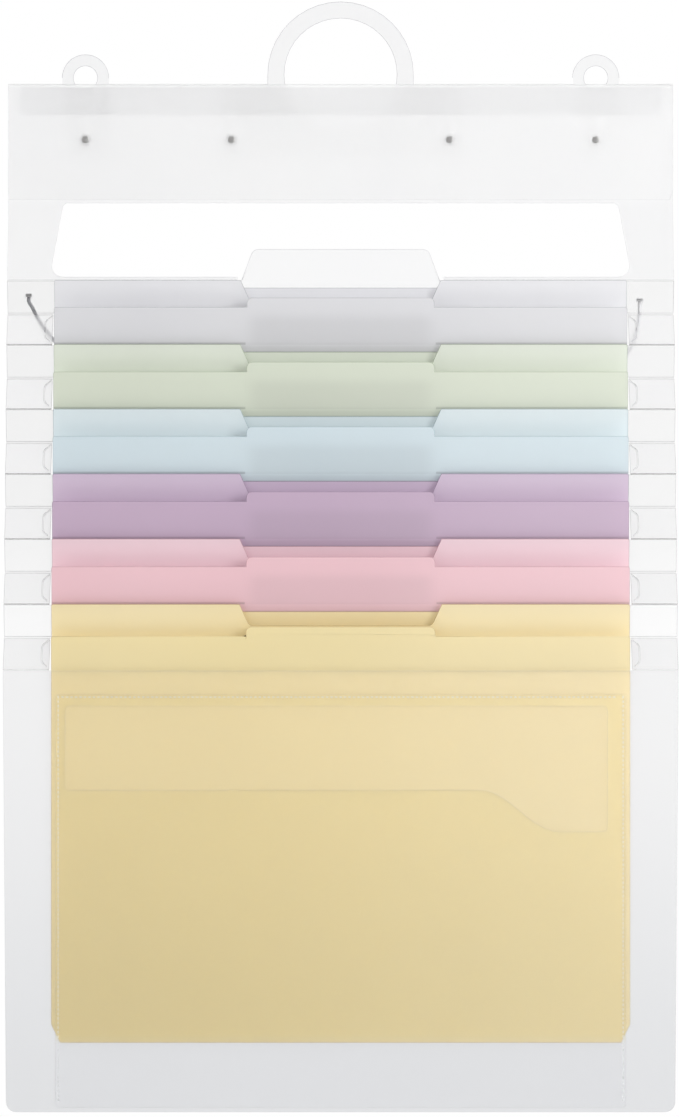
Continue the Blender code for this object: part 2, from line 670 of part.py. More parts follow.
def lower_path(bottom):
    """The pocket's closed edge, from one side's top round the bottom to the other."""
    half = POCKET_WIDTH / 2
    side_top = bottom + POCKET_HEIGHT - POCKET_SIDE_DROP
    return [
        (half, side_top), (half, bottom + POCKET_CORNER_HEIGHT),
        (half - POCKET_CORNER_WIDTH, bottom), (-half + POCKET_CORNER_WIDTH, bottom),
        (-half, bottom + POCKET_CORNER_HEIGHT), (-half, side_top),
    ]


def make_pocket_front(colour, level, material, pivot):
    """Notched front film: it leans out at the mouth and hangs straight below its knee."""
    top = fold_z(level)
    half = POCKET_WIDTH / 2
    closed_edge = [(x, z, 0) for x, z in reversed(lower_path(top - POCKET_HEIGHT))]
    outline = rounded(closed_edge + [
        (half, top, STRIP_CORNER_RADIUS),
        (NOTCH_TOP_WIDTH / 2, top, 0),
        (NOTCH_BOTTOM_WIDTH / 2, top - NOTCH_DEPTH, NOTCH_RADIUS),
        (-NOTCH_BOTTOM_WIDTH / 2, top - NOTCH_DEPTH, NOTCH_RADIUS),
        (-NOTCH_TOP_WIDTH / 2, top, 0),
        (-half, top, STRIP_CORNER_RADIUS),
    ])
    front = fold_y(level)
    face = [(top, front - POCKET_MOUTH_FORWARD),
            (top - POCKET_KNEE_DROP, front - POCKET_KNEE_FORWARD),
            (valley_z(level + 1), front - POCKET_FRONT_FORWARD)]
    make_sheet(f"{colour}_pocket_front", [outline], face, FILM_THICKNESS, material, pivot)


def make_pocket_back(colour, level, material, pivot):
    """Back film, which lies over the back leaf and then hangs straight down."""
    top = fold_z(level)
    back_top = top - POCKET_BACK_EDGE_DROP
    half = POCKET_WIDTH / 2
    closed_edge = [(x, z, 0) for x, z in reversed(lower_path(top - POCKET_HEIGHT))]
    outline = rounded(closed_edge + [(half, back_top, STRIP_CORNER_RADIUS),
                                     (-half, back_top, STRIP_CORNER_RADIUS)])
    make_sheet(f"{colour}_pocket_back", [outline], pocket_back_face(level),
               FILM_THICKNESS, material, pivot)


def make_pocket_gusset(colour, level, material, pivot):
    """Narrow band that closes the pocket's sides and bottom, between front and back."""
    path = lower_path(fold_z(level) - POCKET_HEIGHT)
    front = fold_y(level) - POCKET_FRONT_FORWARD + FILM_THICKNESS + GAP
    back = pocket_back_face(level)[-1][1] - GAP
    shape = bmesh.new()
    front_edge = [shape.verts.new((x, front, z)) for x, z in path]
    back_edge = [shape.verts.new((x, back, z)) for x, z in path]
    for index in range(len(path) - 1):
        shape.faces.new((front_edge[index], front_edge[index + 1],
                         back_edge[index + 1], back_edge[index]))
    mesh = bpy.data.meshes.new(f"{colour}_pocket_gusset")
    shape.to_mesh(mesh)
    shape.free()
    thicken(make_piece(f"{colour}_pocket_gusset", mesh, material, pivot), FILM_THICKNESS)


def make_front_panel(material, pivot):
    """Front of the last pocket: its strip runs on down behind the cover."""
    fold = fold_z(COVER_LEVEL)
    bottom = fold_z(LEVELS) - POCKET_HEIGHT
    half = POCKET_WIDTH / 2
    corners = [(half - POCKET_CORNER_WIDTH, bottom, 0), (half, bottom + POCKET_CORNER_HEIGHT, 0)]
    corners += strip_corners(fold, FRONT_PANEL_RISE, half, STRIP_RAISED_WIDTH / 2)
    back = fold_y(COVER_LEVEL)
    face = [(fold + FRONT_PANEL_RISE, back - FRONT_PANEL_TOP_FORWARD),
            (fold, back + FRONT_PANEL_SETBACK)]
    make_sheet("yellow_front_panel", [rounded(mirrored(corners))], face,
               FILM_THICKNESS, material, pivot)


def make_front_cover(material, pivot):
    """Frosted cover that hangs from the last fold over the yellow pocket."""
    top = fold_z(COVER_LEVEL) - FOLD_END_GAP
    bottom = fold_z(COVER_LEVEL) - COVER_HEIGHT
    right = [(COVER_BOTTOM_WIDTH / 2, bottom, COVER_CORNER_RADIUS),
             (HALF_WIDTH, top, 0)]
    face = [(top, fold_y(COVER_LEVEL) - FOLD_RELIEF - SHEET_THICKNESS)]
    make_sheet("front_cover", [rounded(mirrored(right))], face, SHEET_THICKNESS, material, pivot)


def cover_opening():
    """Outline of the opening for papers: level, then an S curve down to its deep end."""
    half = INNER_SHEET_WIDTH / 2
    top = fold_z(COVER_LEVEL) - INNER_SHEET_DROP - COVER_OPENING_TOP_MARGIN
    shallow = top - COVER_OPENING_SHALLOW
    deep = shallow - COVER_OPENING_STEP
    left = -(half - COVER_OPENING_LEFT_MARGIN)
    right = half - COVER_OPENING_RIGHT_MARGIN
    corners = rounded([
        (right, deep, COVER_OPENING_RADIUS),
        (right, top, COVER_OPENING_RADIUS),
        (left, top, COVER_OPENING_RADIUS),
        (left, shallow, COVER_OPENING_RADIUS),
    ])
    start = half - COVER_CURVE_START_MARGIN
    end = half - COVER_CURVE_END_MARGIN
    curve = []
    for step in range(COVER_CURVE_STEPS + 1):
        share = step / COVER_CURVE_STEPS
        x = start + (end - start) * share
        ease = (1 - math.cos(math.pi * share)) / 2
        curve.append(Vector((x, shallow + (deep - shallow) * ease)))
    return corners + curve


def make_inner_sheet(material, pivot):
    """Sheet behind the cover, welded along its sides and top, with the opening cut out."""
    top = fold_z(COVER_LEVEL) - INNER_SHEET_DROP
    half = INNER_SHEET_WIDTH / 2
    right = [(half, top - INNER_SHEET_HEIGHT, INNER_SHEET_RADIUS),
             (half, top, INNER_SHEET_RADIUS)]
    face = [(top, fold_y(COVER_LEVEL) - FOLD_RELIEF + GAP)]
    make_sheet("cover_inner_sheet", [rounded(mirrored(right)), cover_opening()], face,
               INNER_SHEET_THICKNESS, material, pivot)


def first_leaf_lean():
    """Angle from upright of the first back leaf, and its directions back and down."""
    (top_z, top_y), (low_z, low_y) = back_leaf_face(1)
    lean = math.atan2(low_y - top_y, top_z - low_z)
    back = Vector((0, math.cos(lean), math.sin(lean)))
    down = Vector((0, math.sin(lean), -math.cos(lean)))
    return lean, back, down


def crimp_places():
    """Middle of each crimp, square behind its hole in the first back leaf."""
    _, back, _ = first_leaf_lean()
    places = []
    for side, x, drop in (("left", LEFT_CRIMP_INSET - HALF_WIDTH, LEFT_CRIMP_DROP),
                          ("right", HALF_WIDTH - RIGHT_CRIMP_INSET, RIGHT_CRIMP_DROP)):
        z = fold_z(1) - drop
        hole = Vector((x, height_on(back_leaf_face(1), z), z))
        places.append((side, hole, hole + back * (SHEET_THICKNESS + GAP + CORD_DIAMETER / 2)))
    return places


def make_crimp(side, place, material, pivot):
    """Crimp behind the first back leaf, with a pin that stands in the leaf's hole."""
    shape = bmesh.new()
    bmesh.ops.create_cube(shape, size=1)
    size = (CRIMP_WIDTH, CORD_DIAMETER, CRIMP_HEIGHT)
    bmesh.ops.scale(shape, verts=shape.verts, vec=size)
    bmesh.ops.bevel(shape, geom=shape.edges[:], offset=CRIMP_EDGE, segments=1, affect="EDGES")
    front = min(shape.faces, key=lambda f: f.calc_center_median().y)
    bmesh.ops.inset_region(shape, faces=[front], thickness=CRIMP_PIN_INSET)
    extruded = bmesh.ops.extrude_face_region(shape, geom=[front])
    pin_end = [v for v in extruded["geom"] if isinstance(v, bmesh.types.BMVert)]
    bmesh.ops.delete(shape, geom=[front], context="FACES")
    bmesh.ops.translate(shape, verts=pin_end, vec=(0, -CRIMP_PIN_LENGTH, 0))
    bmesh.ops.recalc_face_normals(shape, faces=shape.faces)
    lean, _, _ = first_leaf_lean()
    bmesh.ops.rotate(shape, verts=shape.verts, cent=(0, 0, 0),
                     matrix=Matrix.Rotation(lean, 3, "X"))
    bmesh.ops.translate(shape, verts=shape.verts, vec=place)
    mesh = bpy.data.meshes.new(f"cord_crimp_{side}")
    shape.to_mesh(mesh)
    shape.free()
    make_piece(f"cord_crimp_{side}", mesh, material, pivot)


def smooth_route(points, spacing):
    """Points at an even spacing along one smooth curve through the given points."""
    dense = []
    padded = [2 * points[0] - points[1]] + points + [2 * points[-1] - points[-2]]
    for a, b, c, d in zip(padded, padded[1:], padded[2:], padded[3:]):
        for step in range(ROUTE_STEPS):
            t = step / ROUTE_STEPS
            dense.append((2 * b + (c - a) * t + (2 * a - 5 * b + 4 * c - d) * t * t
                          + (3 * b - a - 3 * c + d) * t ** 3) / 2)
    dense.append(points[-1])
    length = sum((b - a).length for a, b in zip(dense, dense[1:]))
    count = round(length / spacing)
    even = [dense[0]]
    travelled = 0.0
    for a, b in zip(dense, dense[1:]):
        step = (b - a).length
        while len(even) < count and travelled + step >= len(even) * length / count:
            share = (len(even) * length / count - travelled) / step
            even.append(a.lerp(b, share))
        travelled += step
    even.append(dense[-1])
    return even, length


def cord_points():
    """The cord's route: down from one crimp, round behind the pocket, to the other."""
    _, _, down = first_leaf_lean()
    ends = []
    for _, _, place in crimp_places():
        start = place + down * (CRIMP_HEIGHT / 2 + GAP)
        ends.append([start, start + down * CORD_STRAIGHT])
    left, right = ends[0][0].x, ends[1][0].x
    run = [Vector((left + (right - left) * share, y, fold_z(1) - drop))
           for share, y, drop in zip(CORD_ACROSS_SHARES, CORD_DEPTHS, CORD_DROPS)]
    return ends[0] + run + ends[1][::-1]


def make_elastic_cord(material, pivot):
    route, length = smooth_route(cord_points(), CORD_POINT_SPACING)
    cord = bpy.data.curves.new("elastic_cord", "CURVE")
    cord.dimensions = "3D"
    cord.bevel_depth = CORD_DIAMETER / 2
    cord.bevel_resolution = 2
    cord.use_fill_caps = True
    spline = cord.splines.new("POLY")
    spline.points.add(len(route) - 1)
    for point, place in zip(spline.points, route):
        point.co = (*(place - pivot_places[pivot.name]), 1)
    cord.materials.append(material)
    piece = bpy.data.objects.new("elastic_cord", cord)
    piece.parent = pivot
    bpy.context.collection.objects.link(piece)
    print(f"elastic cord: {len(route)} points, {length / MM:.1f} mm long")


def make_header(finishes, pivot):
    frosted = finishes["frosted_polypropylene"]
    steel = finishes["nickel_plated_steel"]
    make_header_back(frosted, pivot)
    make_header_flap(frosted, pivot)
    make_stiffener(frosted, pivot)
    make_rivets(steel, pivot)
    for side, _, place in crimp_places():
        make_crimp(side, place, steel, pivot)
    make_elastic_cord(finishes["gray_elastic"], pivot)


def make_levels(finishes, header):
    """The six levels, each hung from the pleat above it, down to the cover."""
    frosted = finishes["frosted_polypropylene"]
    level_pivot = header
    for level, colour in enumerate(POCKET_COLOURS, start=1):
        film = finishes[f"{colour}_polypropylene"]
        make_back_leaf(level, frosted, level_pivot)
        make_pocket_front(colour, level, film, level_pivot)
        make_pocket_back(colour, level, film, level_pivot)
        make_pocket_gusset(colour, level, film, level_pivot)
        valley = (0, valley_y(level), valley_z(level))
        pleat_pivot = make_pivot(f"pleat_{level}_axis", valley, level_pivot)
        for side in (-1, 1):
            make_front_leaf(level, side, frosted, pleat_pivot)
        fold = (0, fold_y(level + 1), fold_z(level + 1))
        level_pivot = make_pivot(f"fold_{level + 1}_axis", fold, pleat_pivot)
        if level < LEVELS:
            make_front_strip(colour, level + 1, film, level_pivot)
        else:
            make_front_panel(film, level_pivot)
    cover_y = fold_y(COVER_LEVEL) - FOLD_RELIEF - SHEET_THICKNESS / 2
    crease = (0, cover_y, fold_z(COVER_LEVEL))
    cover_pivot = make_pivot("front_cover_axis", crease, level_pivot)
    make_front_cover(frosted, cover_pivot)
    make_inner_sheet(frosted, cover_pivot)


def main():
    clear_scene()
    finishes = {name: make_material(name) for name in FINISHES}
    frosted = finishes["frosted_polypropylene"]
    hook = make_pivot("hook_point", (0, 0, 0))
    make_hang_handle(frosted, hook)
    header = make_pivot("header_slide_axis", (0, 0, HEADER_TOP), hook)
    for name, x in (("left_hang_loop", -LOOP_SPACING / 2), ("right_hang_loop", LOOP_SPACING / 2)):
        place = (x, 0, HEADER_TOP + LOOP_RISE)
        make_hang_loop(name, x, frosted, make_pivot(f"{name}_axis", place, header))
    make_header(finishes, header)
    make_levels(finishes, header)


main()
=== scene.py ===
"""Hanging document pocket: frosted pleated sheet on a ring handle with six coloured pockets.

Units are metres in the part's own frame: +Z up, the front faces -Y, and the origin is
where a hook bears under the top of the ring.
"""

import json
import math

import bmesh
import bpy
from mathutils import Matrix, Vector

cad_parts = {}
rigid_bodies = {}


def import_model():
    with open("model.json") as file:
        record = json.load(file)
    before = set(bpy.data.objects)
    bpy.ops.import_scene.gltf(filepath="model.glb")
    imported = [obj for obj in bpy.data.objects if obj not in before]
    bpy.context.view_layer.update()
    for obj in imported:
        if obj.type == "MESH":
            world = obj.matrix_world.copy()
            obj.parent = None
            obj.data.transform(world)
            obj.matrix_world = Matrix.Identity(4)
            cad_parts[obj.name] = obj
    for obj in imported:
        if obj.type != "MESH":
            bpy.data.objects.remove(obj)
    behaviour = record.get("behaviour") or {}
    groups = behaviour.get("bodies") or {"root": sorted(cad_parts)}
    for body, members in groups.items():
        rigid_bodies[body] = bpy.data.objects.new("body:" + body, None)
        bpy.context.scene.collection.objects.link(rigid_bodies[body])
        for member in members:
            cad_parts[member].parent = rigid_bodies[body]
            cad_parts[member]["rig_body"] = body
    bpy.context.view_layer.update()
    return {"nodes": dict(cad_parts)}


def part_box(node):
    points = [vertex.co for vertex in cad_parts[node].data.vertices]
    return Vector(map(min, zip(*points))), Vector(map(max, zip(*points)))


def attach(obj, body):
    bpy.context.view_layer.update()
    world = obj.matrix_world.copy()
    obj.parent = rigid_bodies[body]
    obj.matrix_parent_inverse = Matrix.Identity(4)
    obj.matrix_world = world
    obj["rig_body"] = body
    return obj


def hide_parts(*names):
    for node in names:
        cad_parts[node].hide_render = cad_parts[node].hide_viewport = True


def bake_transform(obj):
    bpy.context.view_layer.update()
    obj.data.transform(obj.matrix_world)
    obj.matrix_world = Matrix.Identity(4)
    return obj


MM = 0.001

COLOURS = ("gray", "green", "blue", "purple", "pink", "yellow")
LEVELS = len(COLOURS)
SIDES = (("left", -1), ("right", 1))

# Elastic cord: its diameter and its route in millimetres, from the left crimp down behind
# the first pocket and up to the right crimp
CORD_DIAMETER = 2 * MM
CORD_ROUTE_MM = (
    (-169.50, -8.42, -152.20), (-169.50, -7.57, -154.44), (-167.51, -6.30, -158.00),
    (-165.51, -4.90, -162.20), (-162.53, -4.50, -167.40), (-157.54, -4.40, -173.80),
    (-149.57, -4.40, -182.80), (-137.95, -4.40, -194.30), (-122.01, -4.40, -206.80),
    (-102.08, -4.40, -219.80), (-77.84, -4.40, -231.80), (-49.94, -4.40, -241.80),
    (-20.05, -4.40, -247.80), (9.83, -4.40, -249.30), (40.06, -4.40, -246.30),
    (67.95, -4.40, -239.30), (92.53, -4.40, -229.80), (114.45, -4.40, -218.60),
    (133.04, -4.40, -206.00), (147.66, -4.40, -192.80), (156.95, -4.40, -180.80),
    (161.27, -4.50, -170.80), (162.60, -5.30, -161.80), (162.60, -6.67, -156.84),
    (162.60, -7.52, -154.60),
)
# Its left end shows dark for about a centimetre: where that starts and is full
DARK_END_X = (-164.5 * MM, -166 * MM)

# Rounding of the cut edges
CUT_EDGE = 0.1 * MM
HANDLE_EDGE = 0.24 * MM
LEAF_EDGE = 0.2 * MM
PLEAT_EDGE = 0.14 * MM
FILM_EDGE = 0.18 * MM
CRIMP_EDGE = 0.12 * MM
WELD_EDGE = 0.06 * MM

# Rounding of the creases, and how far a fold bows out between two leaves
CREASE_RADIUS = 0.9 * MM
FILM_CREASE_RADIUS = 1.6 * MM
CREASE_STEPS = 4
CREASE_BOW = 0.25 * MM

# Places: the first fold, how far apart the folds are, the cover's top, half of the gap that
# a tab leaves in its fold, and where a leaf's margin starts and is full
FIRST_FOLD_Z = -143.4 * MM
FOLD_PITCH = 35.1 * MM
COVER_TOP_Z = FIRST_FOLD_Z - LEVELS * FOLD_PITCH
SLOT_HALF_WIDTH = 56 * MM
MARGIN_START = 90 * MM
MARGIN_FULL = 120 * MM

# Shade on a strip over the frosted tab behind it: its share, and where it starts and is
# full, sideways and above the next fold
TAB_SHADE = 0.075
TAB_SHADE_X = (54 * MM, 43 * MM)
TAB_SHADE_Z = (18.5 * MM, 11.5 * MM)

# Shade on a strip where the next fold pinches it: its share, how far from the strip's lower
# edge it starts and is full, and the notch inside which that edge is lower down
PINCH_SHADE = 0.28
PINCH_REACH = (1.3 * MM, 0.2 * MM)
PINCH_RISE = 0.4 * MM
NOTCH_HALF_WIDTH = 51.5 * MM
NOTCH_STEP = 0.2 * MM
NOTCH_DROP = 4.3 * MM

# Shade on a pocket's front towards its row's top
SKY_SHADE = 0.11
SKY_SHADE_HEIGHT = 15 * MM

# Rivets. A dome step is a share of the head's radius and of its thickness. A painted
# highlight brightens the rim over the crown: where it starts and is full, from the front
RIVET_COUNT = 4
RIVET_HEAD_RADIUS = 2 * MM
RIVET_HEAD_THICKNESS = 0.6 * MM
RIVET_SHANK_RADIUS = 1.25 * MM
RIVET_RIM = 0.2 * MM
RIVET_DOME_STEPS = ((0.93, 0.19), (0.80, 0.37), (0.62, 0.52), (0.40, 0.62))
RIVET_BACK_TAPER = 0.97
RIVET_PAINTED_HIGHLIGHT = (0.2 * MM, 0.5 * MM)

# Weld lines between the cover and its inner sheet: rows of small pressed bars
WELD_PITCH = 2.4 * MM
WELD_BAR_LENGTH = 1.5 * MM
WELD_BAR_WIDTH = 0.9 * MM
WELD_INSET = 1.6 * MM
WELD_PLAY = 0.02 * MM

# Floor, well under the hanging pockets
FLOOR_RADIUS = 1.3
FLOOR_Z = -1.05

# How bright the studio is, where white is 1. Each pair is the part of a direction along one
# axis at which a change starts and is full. Matt surfaces get WORLD_LIGHT, with SKY_LEAD
# more from above and less from below
WORLD_LIGHT = 0.78
SKY_LEAD = 0.35
# Through a sheet: towards the ground and the sky, with the horizon between them; how much
# it falls and rises towards the left and the right; and its share towards the room's front
GROUND_LIGHT = 0.86
SKY_LIGHT = 1.0
HORIZON_Z = (-0.15, -0.01)
LEFT_FALL = 0.06
LEFT_TO_RIGHT_X = (-0.25, 0.25)
FRONT_SHARE = 0.74
FRONT_TO_BACK_Y = (-0.5, 0.2)
# In reflections: the room's front, which is white at its back
ROOM_LIGHT = 0.12
ROOM_Y = (-0.5, 0.5)

# Coloured films: for each colour the strip's two tones, the pocket's, made lighter with
# painted light, and its cut edge, made darker with painted shade
FILMS = {
    "gray": ("DFDFE1", "D9D9DC", "F3F3F5", "EDEDF0", "A9A9AD"),
    "green": ("DBE1D2", "D6DBCC", "F0F5E9", "EAEFE3", "9CA78F"),
    "blue": ("D7E2E6", "CFDCE2", "EDF6F8", "E7F1F5", "94A7B0"),
    "purple": ("CAB4C9", "C3ACC2", "E2D0E3", "DCC9DE", "8E7290"),
    "pink": ("EBC9CF", "E6C1C8", "FBE1E8", "F7DAE2", "B98C97"),
    "yellow": ("ECDEB0", "E7D9A7", "FBEEC4", "F7E8B9", "BFA672"),
}


def linear(hex_colour):
    """An sRGB hex value as linear red, green and blue."""
    channels = [int(hex_colour[i:i + 2], 16) / 255 for i in (0, 2, 4)]
    return [c / 12.92 if c <= 0.04045 else ((c + 0.055) / 1.055) ** 2.4 for c in channels]


def add_node(tree, kind, settings=None, links=None):
    """Adds a node, sets its values and properties, and links sockets into its inputs."""
    node = tree.nodes.new(kind)
    for name, value in (settings or {}).items():
        if name in node.inputs:
            node.inputs[name].default_value = value
        else:
            setattr(node, name, value)
    for name, socket in (links or {}).items():
        tree.links.new(socket, node.inputs[name])
    return node


def start_material(name):
    """An empty node tree with an output, and its object coordinates."""
    material = bpy.data.materials.new(name)
    material.use_nodes = True
    tree = material.node_tree
    tree.nodes.clear()
    output = add_node(tree, "ShaderNodeOutputMaterial")
    place = add_node(tree, "ShaderNodeTexCoord").outputs["Object"]
    return material, tree, output, place


def blend_colours(tree, shade, light, factor):
    """A mix from one hex colour to another."""
    mix = add_node(tree, "ShaderNodeMix", {"data_type": "RGBA"}, {"Factor": factor})
    mix.inputs[6].default_value = (*linear(shade), 1)
    mix.inputs[7].default_value = (*linear(light), 1)
    return mix.outputs[2]


def height_in_row(tree, place):
    """The height folded into the first row, from its fold down to the next fold."""
    part = add_node(tree, "ShaderNodeSeparateXYZ", links={"Vector": place})
    row = add_node(tree, "ShaderNodeMath", {"operation": "WRAP"}, {"Value": part.outputs["Z"]})
    row.inputs[1].default_value = FIRST_FOLD_Z
    row.inputs[2].default_value = FIRST_FOLD_Z - FOLD_PITCH
    return row.outputs[0]


def darken(tree, colour, share):
    """Takes a share of a colour away."""
    mix = add_node(tree, "ShaderNodeMix", {"data_type": "RGBA"}, {"Factor": share})
    tree.links.new(colour, mix.inputs[6])
    mix.inputs[7].default_value = (0, 0, 0, 1)
    return mix.outputs[2]


def shade_in_row(tree, place, colour):
    """Darkens a pocket's front towards its row's top, where most of the sky reaches it."""
    open_sky = add_node(tree, "ShaderNodeMapRange",
                        {"From Min": FIRST_FOLD_Z - SKY_SHADE_HEIGHT,
                         "From Max": FIRST_FOLD_Z, "To Max": SKY_SHADE},
                        {"Value": height_in_row(tree, place)})
    return darken(tree, colour, open_sky.outputs["Result"])


def shade_over_tab(tree, place, colour):
    """Darkens a strip over the frosted tab behind it, and where the next fold pinches it."""
    next_fold = FIRST_FOLD_Z - FOLD_PITCH
    part = add_node(tree, "ShaderNodeSeparateXYZ", links={"Vector": place})
    sideways = add_node(tree, "ShaderNodeMath", {"operation": "ABSOLUTE"},
                        {"Value": part.outputs["X"]})
    across = add_node(tree, "ShaderNodeMapRange",
                      {"interpolation_type": "SMOOTHSTEP", "From Min": TAB_SHADE_X[0],
                       "From Max": TAB_SHADE_X[1]}, {"Value": sideways.outputs[0]})
    height = height_in_row(tree, place)
    upwards = add_node(tree, "ShaderNodeMapRange",
                       {"interpolation_type": "SMOOTHSTEP",
                        "From Min": next_fold + TAB_SHADE_Z[0],
                        "From Max": next_fold + TAB_SHADE_Z[1]}, {"Value": height})
    tab = add_node(tree, "ShaderNodeMath", {"operation": "MULTIPLY"})
    tree.links.new(across.outputs["Result"], tab.inputs[0])
    tree.links.new(upwards.outputs["Result"], tab.inputs[1])
    share = add_node(tree, "ShaderNodeMath", {"operation": "MULTIPLY"},
                     {"Value": tab.outputs[0]})
    share.inputs[1].default_value = TAB_SHADE
    # beside the notch the strip's lower edge is at the next fold; inside it, it hangs past
    # that fold, and the folded height counts it from the row's top
    edge = add_node(tree, "ShaderNodeMapRange",
                    {"From Min": NOTCH_HALF_WIDTH - NOTCH_STEP,
                     "From Max": NOTCH_HALF_WIDTH, "To Min": FIRST_FOLD_Z - NOTCH_DROP,
                     "To Max": next_fold + PINCH_RISE}, {"Value": sideways.outputs[0]})
    over_edge = add_node(tree, "ShaderNodeMath", {"operation": "SUBTRACT"},
                         {"Value": height})
    tree.links.new(edge.outputs["Result"], over_edge.inputs[1])
    near_edge = add_node(tree, "ShaderNodeMath", {"operation": "ABSOLUTE"},
                         {"Value": over_edge.outputs[0]})
    pinched = add_node(tree, "ShaderNodeMapRange",
                       {"interpolation_type": "SMOOTHSTEP", "From Min": PINCH_REACH[0],
                        "From Max": PINCH_REACH[1], "To Max": PINCH_SHADE},
                       {"Value": near_edge.outputs[0]})
    most = add_node(tree, "ShaderNodeMath", {"operation": "MAXIMUM"},
                    {"Value": share.outputs[0]})
    tree.links.new(pinched.outputs["Result"], most.inputs[1])
    return darken(tree, colour, most.outputs[0])


def change_along(tree, place, colour, axis, start, end, other, share=1.0):
    """Turns a colour into another one along an axis, from start to end."""
    along = add_node(tree, "ShaderNodeSeparateXYZ", links={"Vector": place}).outputs[axis]
    factor = add_node(tree, "ShaderNodeMapRange",
                      {"interpolation_type": "SMOOTHSTEP", "From Min": start, "From Max": end,
                       "To Max": share}, {"Value": along})
    mix = add_node(tree, "ShaderNodeMix", {"data_type": "RGBA"},
                   {"Factor": factor.outputs["Result"]})
    tree.links.new(colour, mix.inputs[6])
    mix.inputs[7].default_value = (*linear(other), 1)
    return mix.outputs[2]


def sheet_material(name, light, shade, transmission, roughness, lit_through, wave_mm,
                   shading=None, changes=()):
    """Extruded polypropylene sheet: two faces with a fine frosted grain and slow waves.

    light and shade are the hex colours between which the sheet drifts over some hands'
    breadths, as its thickness does. lit_through is the share of the lamps' light that
    passes one face, so that what lies behind the sheet is lit.
    """
    material, tree, output, place = start_material(name)
    drift = add_node(tree, "ShaderNodeTexNoise",
                     {"Scale": 1 / (90 * MM), "Detail": 1.0}, {"Vector": place})
    colour = blend_colours(tree, shade, light, drift.outputs["Fac"])
    if shading:
        colour = shading(tree, place, colour)
    for change in changes:
        colour = change_along(tree, place, colour, *change)
    # the embossed grain is under 0.2 mm; it is drawn at 0.6 mm so that it shows
    grain = add_node(tree, "ShaderNodeTexNoise",
                     {"Scale": 1 / (0.6 * MM), "Detail": 2.0}, {"Vector": place})
    rough = add_node(tree, "ShaderNodeMapRange",
                     {"To Min": roughness - 0.05, "To Max": roughness + 0.05},
                     {"Value": grain.outputs["Fac"]})
    waves = add_node(tree, "ShaderNodeTexNoise",
                     {"Scale": 1 / (wave_mm * MM), "Detail": 0.0}, {"Vector": place})
    slow = add_node(tree, "ShaderNodeBump", {"Strength": 0.3, "Distance": 0.5 * MM},
                    {"Height": waves.outputs["Fac"]})
    fine = add_node(tree, "ShaderNodeBump", {"Strength": 0.3, "Distance": 0.02 * MM},
                    {"Height": grain.outputs["Fac"], "Normal": slow.outputs["Normal"]})
    lamp_ray = add_node(tree, "ShaderNodeLightPath").outputs["Is Shadow Ray"]
    solid = add_node(tree, "ShaderNodeMapRange", {"To Min": 1.0, "To Max": 1 - lit_through},
                     {"Value": lamp_ray})
    shader = add_node(tree, "ShaderNodeBsdfPrincipled",
                      {"Transmission Weight": transmission, "IOR": 1.49},
                      {"Base Color": colour, "Roughness": rough.outputs["Result"],
                       "Normal": fine.outputs["Normal"], "Alpha": solid.outputs["Result"]})
    tree.links.new(shader.outputs["BSDF"], output.inputs["Surface"])
    return material


def elastic_material():
    """Braided elastic: gray yarn wound crosswise over a rubber core, dull and fuzzy."""
    material, tree, output, place = start_material("braided_elastic")
    yarn = add_node(tree, "ShaderNodeTexWave",
                    {"Scale": 1 / (1.2 * MM * math.tau), "Distortion": 1.5,
                     "bands_direction": "DIAGONAL"}, {"Vector": place})
    colour = blend_colours(tree, "CECED0", "E0E0E2", yarn.outputs["Fac"])
    # the left end is darker
    colour = change_along(tree, place, colour, "X", *DARK_END_X, "86868A")
    bump = add_node(tree, "ShaderNodeBump", {"Strength": 0.5, "Distance": 0.1 * MM},
                    {"Height": yarn.outputs["Fac"]})
    shader = add_node(tree, "ShaderNodeBsdfPrincipled", {"Roughness": 0.85},
                      {"Base Color": colour, "Normal": bump.outputs["Normal"]})
    tree.links.new(shader.outputs["BSDF"], output.inputs["Surface"])
    return material


def nickel_material(name, dark, light, changes=()):
    """Nickel plated steel, pressed and tumbled: bright, with soft small scratches."""
    material, tree, output, place = start_material(name)
    tumble = add_node(tree, "ShaderNodeTexNoise",
                      {"Scale": 1 / (0.8 * MM), "Detail": 3.0}, {"Vector": place})
    rough = add_node(tree, "ShaderNodeMapRange", {"To Min": 0.22, "To Max": 0.38},
                     {"Value": tumble.outputs["Fac"]})
    colour = blend_colours(tree, dark, light, tumble.outputs["Fac"])
    for change in changes:
        colour = change_along(tree, place, colour, *change)
    shader = add_node(tree, "ShaderNodeBsdfPrincipled", {"Metallic": 1.0},
                      {"Base Color": colour, "Roughness": rough.outputs["Result"]})
    tree.links.new(shader.outputs["BSDF"], output.inputs["Surface"])
    return material


def paint(piece, material):
    """Gives a piece one material in every slot."""
    if not piece.material_slots:
        piece.data.materials.append(material)
    for piece_slot in piece.material_slots:
        piece_slot.material = material


def make_camera():
    """Square to the front, at half of the hanging height."""
    data = bpy.data.cameras.new("camera")
    data.sensor_width = 36
    data.lens = 222
    data.clip_start = 0.05
    data.clip_end = 50
    camera = bpy.data.objects.new("camera", data)
    camera.location = (-0.0006, -3.753, -0.2943)
    camera.rotation_euler = (math.pi / 2, 0, 0)
    bpy.context.collection.objects.link(camera)
    bpy.context.scene.camera = camera


def make_lamp(name, place, target, size, power):
    """A round area lamp that faces its target."""
    data = bpy.data.lights.new(name, "AREA")
    data.shape = "DISK"
    data.size = size
    data.energy = power
    lamp = bpy.data.objects.new(name, data)
    lamp.location = place
    lamp.rotation_mode = "QUATERNION"
    # the studio, not the lamps, is what shows through the sheets
    lamp.visible_transmission = False
    lamp.rotation_quaternion = (Vector(target) - Vector(place)).to_track_quat("-Z", "Y")
    bpy.context.collection.objects.link(lamp)


